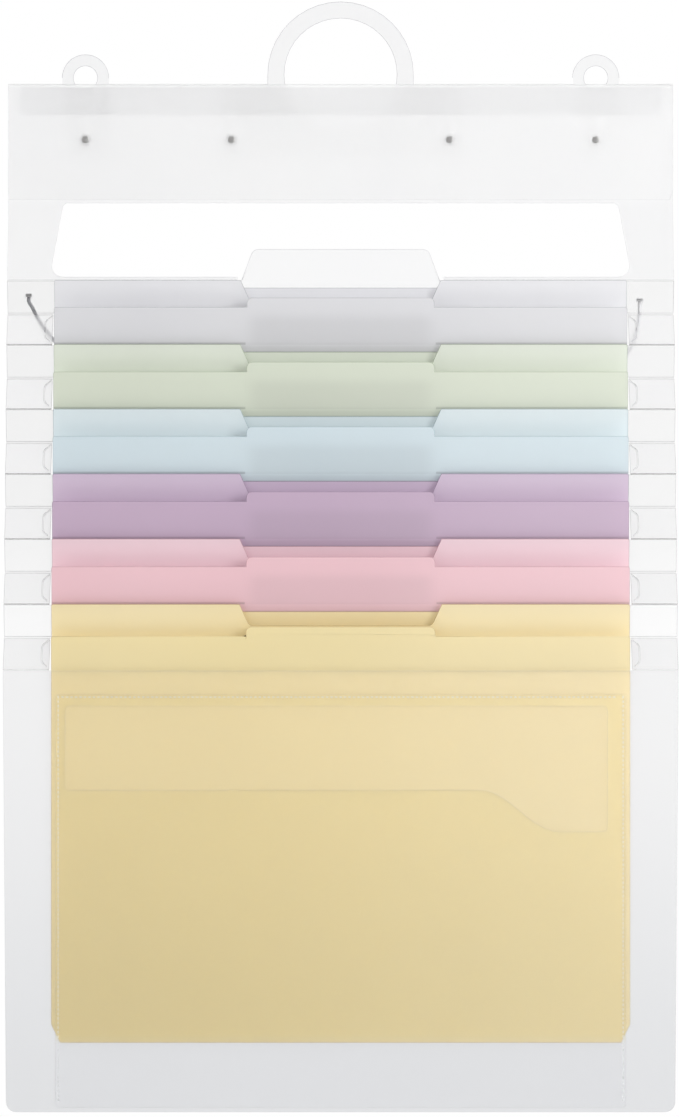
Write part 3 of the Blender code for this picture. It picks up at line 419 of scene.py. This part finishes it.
def make_world():
    """White where the camera looks, and a room that is dim in front in reflections.

    Through the frosted sheets it dims towards the ground, towards the room's front and a
    little towards the left. Matt surfaces get more of it from above.
    """
    world = bpy.data.worlds.new("studio")
    world.use_nodes = True
    tree = world.node_tree
    tree.nodes.clear()
    rays = add_node(tree, "ShaderNodeLightPath")
    direction = add_node(tree, "ShaderNodeTexCoord").outputs["Generated"]
    facing = add_node(tree, "ShaderNodeSeparateXYZ", links={"Vector": direction})
    height = add_node(tree, "ShaderNodeMapRange",
                      {"interpolation_type": "SMOOTHSTEP", "From Min": HORIZON_Z[0],
                       "From Max": HORIZON_Z[1], "To Min": GROUND_LIGHT,
                       "To Max": SKY_LIGHT}, {"Value": facing.outputs["Z"]})
    across = add_node(tree, "ShaderNodeMapRange",
                      {"From Min": LEFT_TO_RIGHT_X[0], "From Max": LEFT_TO_RIGHT_X[1],
                       "To Min": -LEFT_FALL, "To Max": LEFT_FALL},
                      {"Value": facing.outputs["X"]})
    backdrop = add_node(tree, "ShaderNodeMath", {"operation": "ADD"})
    tree.links.new(height.outputs["Result"], backdrop.inputs[0])
    tree.links.new(across.outputs["Result"], backdrop.inputs[1])
    from_behind = add_node(tree, "ShaderNodeMapRange",
                           {"From Min": FRONT_TO_BACK_Y[0], "From Max": FRONT_TO_BACK_Y[1],
                            "To Min": FRONT_SHARE, "To Max": 1.0},
                           {"Value": facing.outputs["Y"]})
    seen_through = add_node(tree, "ShaderNodeMath", {"operation": "MULTIPLY"})
    tree.links.new(backdrop.outputs[0], seen_through.inputs[0])
    tree.links.new(from_behind.outputs["Result"], seen_through.inputs[1])
    mirrored = add_node(tree, "ShaderNodeMapRange",
                        {"interpolation_type": "SMOOTHSTEP", "From Min": ROOM_Y[0],
                         "From Max": ROOM_Y[1], "To Min": ROOM_LIGHT, "To Max": 1.0},
                        {"Value": facing.outputs["Y"]})
    matt = add_node(tree, "ShaderNodeMapRange",
                    {"From Min": -1.0, "From Max": 1.0, "To Min": WORLD_LIGHT - SKY_LEAD,
                     "To Max": WORLD_LIGHT + SKY_LEAD}, {"Value": facing.outputs["Z"]})
    gloss = add_node(tree, "ShaderNodeMix", {},
                     {"Factor": rays.outputs["Is Glossy Ray"], "A": matt.outputs["Result"],
                      "B": mirrored.outputs["Result"]})
    through = add_node(tree, "ShaderNodeMix", {},
                       {"Factor": rays.outputs["Is Transmission Ray"],
                        "A": gloss.outputs[0], "B": seen_through.outputs[0]})
    strength = add_node(tree, "ShaderNodeMix", {"B": 1.0},
                        {"Factor": rays.outputs["Is Camera Ray"], "A": through.outputs[0]})
    background = add_node(tree, "ShaderNodeBackground", {"Color": (1, 1, 1, 1)},
                          {"Strength": strength.outputs[0]})
    output = add_node(tree, "ShaderNodeOutputWorld")
    tree.links.new(background.outputs["Background"], output.inputs["Surface"])
    bpy.context.scene.world = world


def start_editing(piece):
    """Selects one piece alone, with nothing selected inside it, in edit mode."""
    bpy.ops.object.select_all(action="DESELECT")
    piece.select_set(True)
    bpy.context.view_layer.objects.active = piece
    bpy.ops.object.mode_set(mode="EDIT")
    bpy.ops.mesh.select_all(action="DESELECT")


def select_where(piece, kind, wanted):
    """Selects the edges or faces for which wanted is true, in edit mode."""
    bpy.ops.mesh.select_mode(type=kind)
    bpy.ops.mesh.select_all(action="DESELECT")
    bpy.ops.object.mode_set(mode="OBJECT")
    for item in piece.data.edges if kind == "EDGE" else piece.data.polygons:
        item.select = wanted(item)
    bpy.ops.object.mode_set(mode="EDIT")


def finish_piece(piece, name, material, body):
    """Names a piece, applies its place and gives it its material and its body."""
    bpy.ops.object.mode_set(mode="OBJECT")
    bpy.ops.object.select_all(action="DESELECT")
    piece.select_set(True)
    bpy.context.view_layer.objects.active = piece
    bpy.ops.object.transform_apply(location=True, rotation=True, scale=True)
    piece.name = name
    piece.data.name = name
    if material:
        paint(piece, material)
    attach(piece, body)


def crease_edges(piece, sharpest):
    """The edges along X where a sheet bends by more than 5 degrees and less than sharpest."""
    mesh = piece.data
    faces = {}
    for face in mesh.polygons:
        for key in face.edge_keys:
            faces.setdefault(key, []).append(face.normal)
    bends = set()
    for key, normals in faces.items():
        along = mesh.vertices[key[1]].co - mesh.vertices[key[0]].co
        if len(normals) == 2 and abs(along.x) > 0.98 * along.length:
            if math.radians(5) < normals[0].angle(normals[1]) < sharpest:
                bends.add(key)
    return bends


def flatten_faces(piece):
    """Keeps the wide faces flat up to their rounded edges."""
    flat = piece.modifiers.new("flat", "WEIGHTED_NORMAL")
    flat.mode = "FACE_AREA"
    flat.weight = 100
    flat.keep_sharp = True
    bpy.ops.object.modifier_apply(modifier="flat")


def plain_rims(piece, plain):
    """Gives the cut edges for which plain is true the sheet's own finish."""
    for face in piece.data.polygons:
        if face.material_index == 1 and plain(face):
            face.material_index = 0


def cut_sheet(node_name, name, material, edge, crease, rim=None, plain=None):
    """A node's sheet with its creases bent round a radius and its cut edges softened."""
    node = nodes[node_name]
    body = node["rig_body"]
    piece = bpy.data.objects.new(name, node.data.copy())
    bpy.context.collection.objects.link(piece)
    piece.data.materials.clear()
    piece.data.materials.append(material)
    piece.data.materials.append(rim or material)
    start_editing(piece)
    bpy.ops.mesh.select_all(action="SELECT")
    bpy.ops.mesh.remove_doubles(threshold=0.001 * MM)
    bpy.ops.mesh.dissolve_limited(angle_limit=math.radians(0.4))
    bpy.ops.object.mode_set(mode="OBJECT")
    bends = crease_edges(piece, math.radians(50))
    bpy.ops.object.mode_set(mode="EDIT")
    if bends and crease:
        select_where(piece, "EDGE", lambda e: tuple(e.key) in bends)
        bpy.ops.mesh.bevel(offset=crease, segments=CREASE_STEPS, affect="EDGES")
    bpy.ops.mesh.select_mode(type="EDGE")
    bpy.ops.mesh.select_all(action="DESELECT")
    bpy.ops.mesh.edges_select_sharp(sharpness=math.radians(60))
    bpy.ops.mesh.bevel(offset=edge, segments=2, affect="EDGES", material=1)
    bpy.ops.object.mode_set(mode="OBJECT")
    bpy.ops.object.shade_smooth_by_angle(angle=math.radians(50))
    flatten_faces(piece)
    if plain:
        plain_rims(piece, plain)
    finish_piece(piece, name, None, body)
    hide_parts(node_name)
    return piece


def lay_section(piece, section):
    """Moves the selected end of a crease to a section: its front and back y and z."""
    mesh = bmesh.from_edit_mesh(piece.data)
    end = [v for v in mesh.verts if v.select]
    middle = sum(v.co.y for v in end) / len(end)
    for corner in end:
        corner.co.y, corner.co.z = section[0] if corner.co.y < middle else section[1]
    bmesh.update_edit_mesh(piece.data)


def make_crease(name, low_x, high_x, upper, lower, bow):
    """Bent film between two leaves' cut ends, each given as front and back (y, z)."""
    bpy.ops.object.select_all(action="DESELECT")
    bpy.ops.mesh.primitive_plane_add(size=1, location=((low_x + high_x) / 2, 0, 0))
    piece = bpy.context.object
    piece.scale = (high_x - low_x, 1, 1)
    bpy.ops.object.transform_apply(location=True, rotation=False, scale=True)
    start_editing(piece)
    bpy.ops.mesh.select_all(action="SELECT")
    lay_section(piece, upper)
    for step in range(1, CREASE_STEPS + 1):
        share = step / CREASE_STEPS
        bpy.ops.mesh.extrude_region_move(TRANSFORM_OT_translate={"value": (0, 0, 0)})
        lay_section(piece, [
            (a[0] + (b[0] - a[0]) * share + bow * math.sin(math.pi * share),
             a[1] + (b[1] - a[1]) * share) for a, b in zip(upper, lower)])
    bpy.ops.mesh.select_all(action="SELECT")
    bpy.ops.mesh.normals_make_consistent(inside=False)
    bpy.ops.object.mode_set(mode="OBJECT")
    bpy.ops.object.shade_smooth_by_angle(angle=math.radians(40))
    piece.name = name
    piece.data.name = name
    paint(piece, folded)
    return piece


def cut_end(node_name, sign, highest):
    """Front and back (y, z) of a leaf's top or bottom cut end, at its outer side."""
    points = [v.co for v in nodes[node_name].data.vertices]
    outer = max(p.x * sign for p in points)
    ends = {(round(p.y, 6), round(p.z, 6)) for p in points if outer - p.x * sign < 0.01 * MM}
    ends = sorted(ends, key=lambda end: end[1], reverse=highest)
    return sorted(ends[:2])


def inner_edge(node_name):
    """How far from the middle a side strip begins at its top and bottom ends."""
    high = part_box(node_name)[1]
    points = [v.co for v in nodes[node_name].data.vertices]
    return min(abs(p.x) for p in points if abs(p.z - high.z) < 0.01 * MM)


def make_rivet(number):
    """Tubular rivet: a shank with a domed head in front and a flat head behind."""
    low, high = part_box(f"header_rivet_{number}")
    x, z = (low.x + high.x) / 2, (low.z + high.z) / 2
    head = RIVET_HEAD_THICKNESS
    shank = high.y - low.y - 2 * head
    bpy.ops.object.select_all(action="DESELECT")
    bpy.ops.mesh.primitive_cylinder_add(
        vertices=32, radius=RIVET_SHANK_RADIUS, depth=shank,
        location=(x, (low.y + high.y) / 2, z), rotation=(math.pi / 2, 0, 0))
    piece = bpy.context.object
    bpy.ops.object.transform_apply(location=True, rotation=True, scale=True)
    start_editing(piece)
    for side, seat in ((-1, low.y + head), (1, high.y - head)):
        select_where(piece, "FACE", lambda f: f.normal.y * side > 0.9)
        radius = RIVET_SHANK_RADIUS
        bpy.ops.mesh.extrude_region_move(TRANSFORM_OT_translate={"value": (0, 0, 0)})
        rings = [(1.0, 0.0), (1.0, RIVET_RIM / head)]
        if side < 0:
            rings += [(share, RIVET_RIM / head + rise) for share, rise in RIVET_DOME_STEPS]
        else:
            rings += [(RIVET_BACK_TAPER, 1.0)]
        y = seat
        for index, (share, rise) in enumerate(rings):
            if index:
                new_y = seat + side * rise * head
                bpy.ops.mesh.extrude_region_move(
                    TRANSFORM_OT_translate={"value": (0, new_y - y, 0)})
                y = new_y
            scale = share * RIVET_HEAD_RADIUS / radius
            bpy.ops.transform.resize(value=(scale, 1, scale), center_override=(x, y, z))
            radius = share * RIVET_HEAD_RADIUS
    bpy.ops.mesh.select_all(action="SELECT")
    bpy.ops.mesh.remove_doubles(threshold=0.001 * MM)
    bpy.ops.mesh.normals_make_consistent(inside=False)
    bpy.ops.object.mode_set(mode="OBJECT")
    bpy.ops.object.shade_smooth_by_angle(angle=math.radians(35))
    finish_piece(piece, f"rivet_{number}", steel,
                 nodes[f"header_rivet_{number}"]["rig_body"])
    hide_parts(f"header_rivet_{number}")


def make_weld_row(name, start, end):
    """A row of small pressed bars that join the cover to the sheet behind it."""
    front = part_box("front_cover")[1].y
    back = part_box("cover_inner_sheet")[0].y
    depth = back - front - 2 * WELD_PLAY
    run = Vector(end) - Vector(start)
    count = int(run.length / WELD_PITCH)
    upright = abs(run.y) > abs(run.x)
    size = (WELD_BAR_WIDTH, depth, WELD_BAR_LENGTH) if upright else (
        WELD_BAR_LENGTH, depth, WELD_BAR_WIDTH)
    bpy.ops.object.select_all(action="DESELECT")
    bpy.ops.mesh.primitive_cube_add(size=1, location=(start[0], (front + back) / 2, start[1]))
    piece = bpy.context.object
    piece.scale = size
    bpy.ops.object.transform_apply(location=True, rotation=False, scale=True)
    start_editing(piece)
    bpy.ops.mesh.select_all(action="SELECT")
    bpy.ops.mesh.bevel(offset=WELD_EDGE, segments=1, affect="EDGES")
    bpy.ops.object.mode_set(mode="OBJECT")
    row = piece.modifiers.new("row", "ARRAY")
    row.use_relative_offset = False
    row.use_constant_offset = True
    row.constant_offset_displace = (run.x / count, 0, run.y / count)
    row.count = count
    bpy.ops.object.modifier_apply(modifier="row")
    finish_piece(piece, name, weld, "front_cover")


def make_cord():
    """The elastic cord, on one smooth curve between its crimps."""
    data = bpy.data.curves.new("cord", "CURVE")
    data.dimensions = "3D"
    data.bevel_depth = CORD_DIAMETER / 2
    data.bevel_resolution = 4
    data.resolution_u = 6
    data.use_fill_caps = True
    spline = data.splines.new("BEZIER")
    spline.bezier_points.add(len(CORD_ROUTE_MM) - 1)
    for point, place in zip(spline.bezier_points, CORD_ROUTE_MM):
        point.co = [value * MM for value in place]
        point.handle_left_type = point.handle_right_type = "AUTO"
    cord = bpy.data.objects.new("cord", data)
    bpy.context.collection.objects.link(cord)
    paint(cord, elastic)
    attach(cord, "header")
    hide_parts("elastic_cord")
    crimps = [cut_sheet(f"cord_crimp_{side}", f"{side}_crimp", crimped_steel,
                        CRIMP_EDGE, 0) for side, _ in SIDES]


def make_floor():
    """A plain pale floor, painted and faintly speckled."""
    bpy.ops.object.select_all(action="DESELECT")
    bpy.ops.mesh.primitive_circle_add(vertices=96, radius=FLOOR_RADIUS, fill_type="NGON",
                                      location=(0, 0, FLOOR_Z))
    floor = bpy.context.object
    floor.name = "floor"
    bpy.ops.object.transform_apply(location=True, rotation=True, scale=True)
    material, tree, output, place = start_material("pale_floor")
    speckle = add_node(tree, "ShaderNodeTexNoise", {"Scale": 1 / (25 * MM)}, {"Vector": place})
    colour = blend_colours(tree, "F4F4F3", "F8F8F8", speckle.outputs["Fac"])
    shader = add_node(tree, "ShaderNodeBsdfPrincipled", {"Roughness": 0.8},
                      {"Base Color": colour})
    tree.links.new(shader.outputs["BSDF"], output.inputs["Surface"])
    paint(floor, material)


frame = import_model()
nodes = frame["nodes"]
bpy.context.scene.view_settings.view_transform = "Standard"

make_camera()
# Rivets of nickel plated steel; a painted highlight brightens the rim over the crown
rivet_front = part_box("header_rivet_1")[0].y
rim_painted_highlight = ("Y", rivet_front + RIVET_PAINTED_HIGHLIGHT[0], rivet_front + RIVET_PAINTED_HIGHLIGHT[1], "E8E8E8")
steel = nickel_material("nickel_plated_steel", "898887", "979694", [rim_painted_highlight])
# Crimps of nickel plated steel strip, the left one darker
left_crimp_darker = ("X", -120 * MM, -140 * MM, "B0B0B0")
crimped_steel = nickel_material("nickel_plated_crimp", "D0D0D1", "DCDCDD", [left_crimp_darker])
elastic = elastic_material()
make_cord()

make_world()
make_lamp("key", (1.2, -1.35, 0.1), (0, 0, -0.33), 0.9, 15.6)
make_lamp("fill", (-1.9, -2.4, 0.2), (0, 0, -0.3), 1.4, 4)
make_floor()

# Handle and loops: smooth frosted polypropylene, with painted light inside the header
header_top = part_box("header_back")[1].z
painted_light_inside_header = ("Z", header_top, header_top - 1.5 * MM, "FFFFFF")
frosted = sheet_material("frosted_polypropylene", "F7F7F7", "F5F5F6", 1.0, 0.34, 0.9, 45,
                         changes=[painted_light_inside_header])
# Leaves: the pleated sheet's polypropylene, darker out at the margins with painted shade,
# and lighter on the lower leaves with painted light
left_margin_painted_shade = ("X", -MARGIN_START, -MARGIN_FULL, "F3F3F3")
right_margin_painted_shade = ("X", MARGIN_START, MARGIN_FULL, "F4F4F4")
painted_light_on_lower_leaves = ("Z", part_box("back_leaf_4")[0].z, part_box("back_leaf_6")[0].z, "FFFFFF", 0.7)
folded = sheet_material("folded_frosted_polypropylene", "FDFDFD", "FBFBFC", 1.0, 0.22, 0.9,
                        45, changes=[left_margin_painted_shade, right_margin_painted_shade, painted_light_on_lower_leaves])
# Pleat strips: the same sheet, grayer with painted shade for their steeper slant
pleated = sheet_material("pleated_frosted_polypropylene_painted_shade", "F8F8F8", "F6F6F7", 1.0, 0.29, 0.9,
                         45)
# Header: the heavy back sheet, the coarse front flap and the stiffener between them
heavy = sheet_material("heavy_frosted_polypropylene", "F2F2F2", "F0F0F1", 1.0, 0.5, 0.9, 45)
coarse = sheet_material("coarse_frosted_polypropylene", "F8F8F8", "F6F6F6", 1.0, 0.5, 0.9, 45)
stiff = sheet_material("stiff_frosted_polypropylene", "F3F3F3", "F1F1F2", 1.0, 0.5, 0.9, 45)
# Cover: fine frosted polypropylene, grayer towards the ground with painted shade
painted_shade_towards_ground = ("Z", COVER_TOP_Z - 20 * MM, COVER_TOP_Z - 232 * MM, "EBECEE")
fine = sheet_material("fine_frosted_polypropylene", "F8F8F8", "F6F6F7", 1.0, 0.24, 0.98, 45,
                      changes=[painted_shade_towards_ground])
# Sheet behind the cover: thin frosted polypropylene, with painted light from the yellow panel
panel_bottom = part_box("yellow_front_panel")[0].z
painted_yellow_light = ("Z", panel_bottom - 1 * MM, panel_bottom + 4 * MM, "FFFDF1")
inner = sheet_material("inner_frosted_polypropylene_painted_yellow_light", "FDFDFD", "FBFBFC", 1.0, 0.24, 0.98, 45,
                       changes=[painted_yellow_light])
# Cut edges of the frosted sheets, darkened with painted shade, and the pressed bars of the
# welds
cut_rim = sheet_material("die_cut_edge_painted_shade", "C4C4C6", "BCBCBF", 0.3, 0.5, 0.5, 45)
slit_rim = sheet_material("slit_edge_painted_shade", "A4A4A6", "9C9C9E", 0.2, 0.5, 0.5, 45)
header_rim = sheet_material("header_edge_painted_shade", "D4D4D6", "CECED0", 0.4, 0.4, 0.7, 45)
weld = sheet_material("pressed_weld_polypropylene", "F8F8F8", "F0F0F0", 0.9, 0.35, 0.95, 45)

# Coloured polypropylene films: the strip, the pocket, the pocket's front and the cut edge of
# each. Painted light makes them paler towards the right, the yellow panel in a warmer tone.
# Painted shade makes the panel deeper behind the cover
painted_light_from_right = ("X", -70 * MM, 150 * MM, "FFFFFF", 0.08)
yellow_painted_light_from_right = ("X", -70 * MM, 150 * MM, "F4EBD6", 0.22)
painted_shade_behind_cover = ("Z", COVER_TOP_Z + 1 * MM, COVER_TOP_Z - 4 * MM, "F0E0AE")
strips, pockets, pocket_fronts, film_rims = {}, {}, {}, {}
for colour, (strip_light, strip_shade, light, shade, edge_painted_shade) in FILMS.items():
    yellow = colour == "yellow"
    strips[colour] = sheet_material(
        f"{colour}_polypropylene", strip_light, strip_shade, 0.3, 0.5, 0.5, 60,
        None if yellow else shade_over_tab,
        [painted_shade_behind_cover, yellow_painted_light_from_right] if yellow else [painted_light_from_right])
    # the pocket's lighter tones are painted light
    pockets[colour] = sheet_material(
        f"{colour}_pocket_polypropylene_painted_light", light, shade, 0.3, 0.5, 0.6, 60, changes=[painted_light_from_right])
    pocket_fronts[colour] = sheet_material(
        f"{colour}_pocket_front_polypropylene_painted_light", light, shade, 0.3, 0.5, 0.6, 60,
        shade_in_row, [painted_light_from_right])
    # the film's cut edge is darker with painted shade
    film_rims[colour] = sheet_material(
        f"cut_{colour}_edge_painted_shade", edge_painted_shade, edge_painted_shade, 0.2, 0.5, 0.5, 60)


def inside_header(face):
    """True for an edge of the handle or a loop that is inside the header."""
    return face.center.z < header_top - 1 * MM


def at_fold(face):
    """True for an edge where a leaf or a pleat strip goes on into a fold."""
    return abs(face.normal.x) < 0.3 and abs(face.center.x) > SLOT_HALF_WIDTH


# Frosted sheets: the handle, the loops, the header and every leaf down to the cover. The
# flap's fold over the header's top is modelled round already, so it gets no crease
sheets = [("hang_handle", frosted, HANDLE_EDGE, cut_rim, inside_header),
          ("left_hang_loop", frosted, HANDLE_EDGE, cut_rim, inside_header),
          ("right_hang_loop", frosted, HANDLE_EDGE, cut_rim, inside_header),
          ("header_back", heavy, CUT_EDGE, header_rim, None),
          ("header_front_flap", coarse, CUT_EDGE, header_rim, None),
          ("header_stiffener", stiff, CUT_EDGE, header_rim, None),
          ("front_cover", fine, CUT_EDGE, cut_rim, None),
          ("cover_inner_sheet", inner, CUT_EDGE, cut_rim, None)]
for level in range(1, LEVELS + 1):
    sheets.append((f"back_leaf_{level}", folded, LEAF_EDGE, cut_rim, at_fold))
    sheets += [(f"{side}_pleat_{level}", pleated, PLEAT_EDGE, slit_rim, at_fold)
               for side, _ in SIDES]
for node_name, finish, edge, rim, plain in sheets:
    crease = 0 if node_name == "header_front_flap" else CREASE_RADIUS
    cut_sheet(node_name, f"{node_name}_sheet", finish, edge,
              crease, rim, plain)

# Coloured films: each pocket's front, back and gusset, and the strip over its mouth
for colour in COLOURS:
    for part in ("pocket_front", "pocket_back", "pocket_gusset"):
        film = (pocket_fronts if part == "pocket_front" else pockets)[colour]
        cut_sheet(f"{colour}_{part}", f"{colour}_{part}_film", film,
                  FILM_EDGE, FILM_CREASE_RADIUS, film_rims[colour])
    part = "front_panel" if colour == "yellow" else "front_strip"
    cut_sheet(f"{colour}_{part}", f"{colour}_{part}_film", strips[colour],
              FILM_EDGE, FILM_CREASE_RADIUS, film_rims[colour])

# Creases of the frosted sheet: the first fold, then each pleat's valley and next fold
for side, sign in SIDES:
    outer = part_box("back_leaf_1")[1].x
    low_x, high_x = sorted((sign * SLOT_HALF_WIDTH, sign * outer))
    fold = make_crease(f"{side}_fold_1", low_x, high_x, cut_end("header_back", sign, False),
                       cut_end("back_leaf_1", sign, True), -CREASE_BOW)
    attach(fold, "header")
    for level in range(1, LEVELS + 1):
        pleat = f"{side}_pleat_{level}"
        low_x, high_x = sorted((sign * inner_edge(pleat), sign * outer))
        below = f"back_leaf_{level + 1}" if level < LEVELS else "front_cover"
        upper, lower = cut_end(f"back_leaf_{level}", sign, False), cut_end(pleat, sign, True)
        valley = make_crease(f"{side}_valley_{level}", low_x, high_x, upper, lower, CREASE_BOW)
        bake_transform(valley)
        upper, lower = cut_end(pleat, sign, False), cut_end(below, sign, True)
        fold = make_crease(f"{side}_fold_{level + 1}", low_x, high_x, upper, lower, -CREASE_BOW)
        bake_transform(fold)

for number in range(1, RIVET_COUNT + 1):
    make_rivet(number)

# Weld lines down both sides of the inner sheet and along its top
sheet_low, sheet_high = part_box("cover_inner_sheet")
left_x, right_x = sheet_low.x + WELD_INSET, sheet_high.x - WELD_INSET
top_z, bottom_z = sheet_high.z - WELD_INSET, sheet_low.z + WELD_INSET
make_weld_row("left_weld", (left_x, top_z), (left_x, bottom_z))
make_weld_row("right_weld", (right_x, top_z), (right_x, bottom_z))
make_weld_row("top_weld", (left_x + WELD_PITCH, top_z), (right_x - WELD_PITCH, top_z))
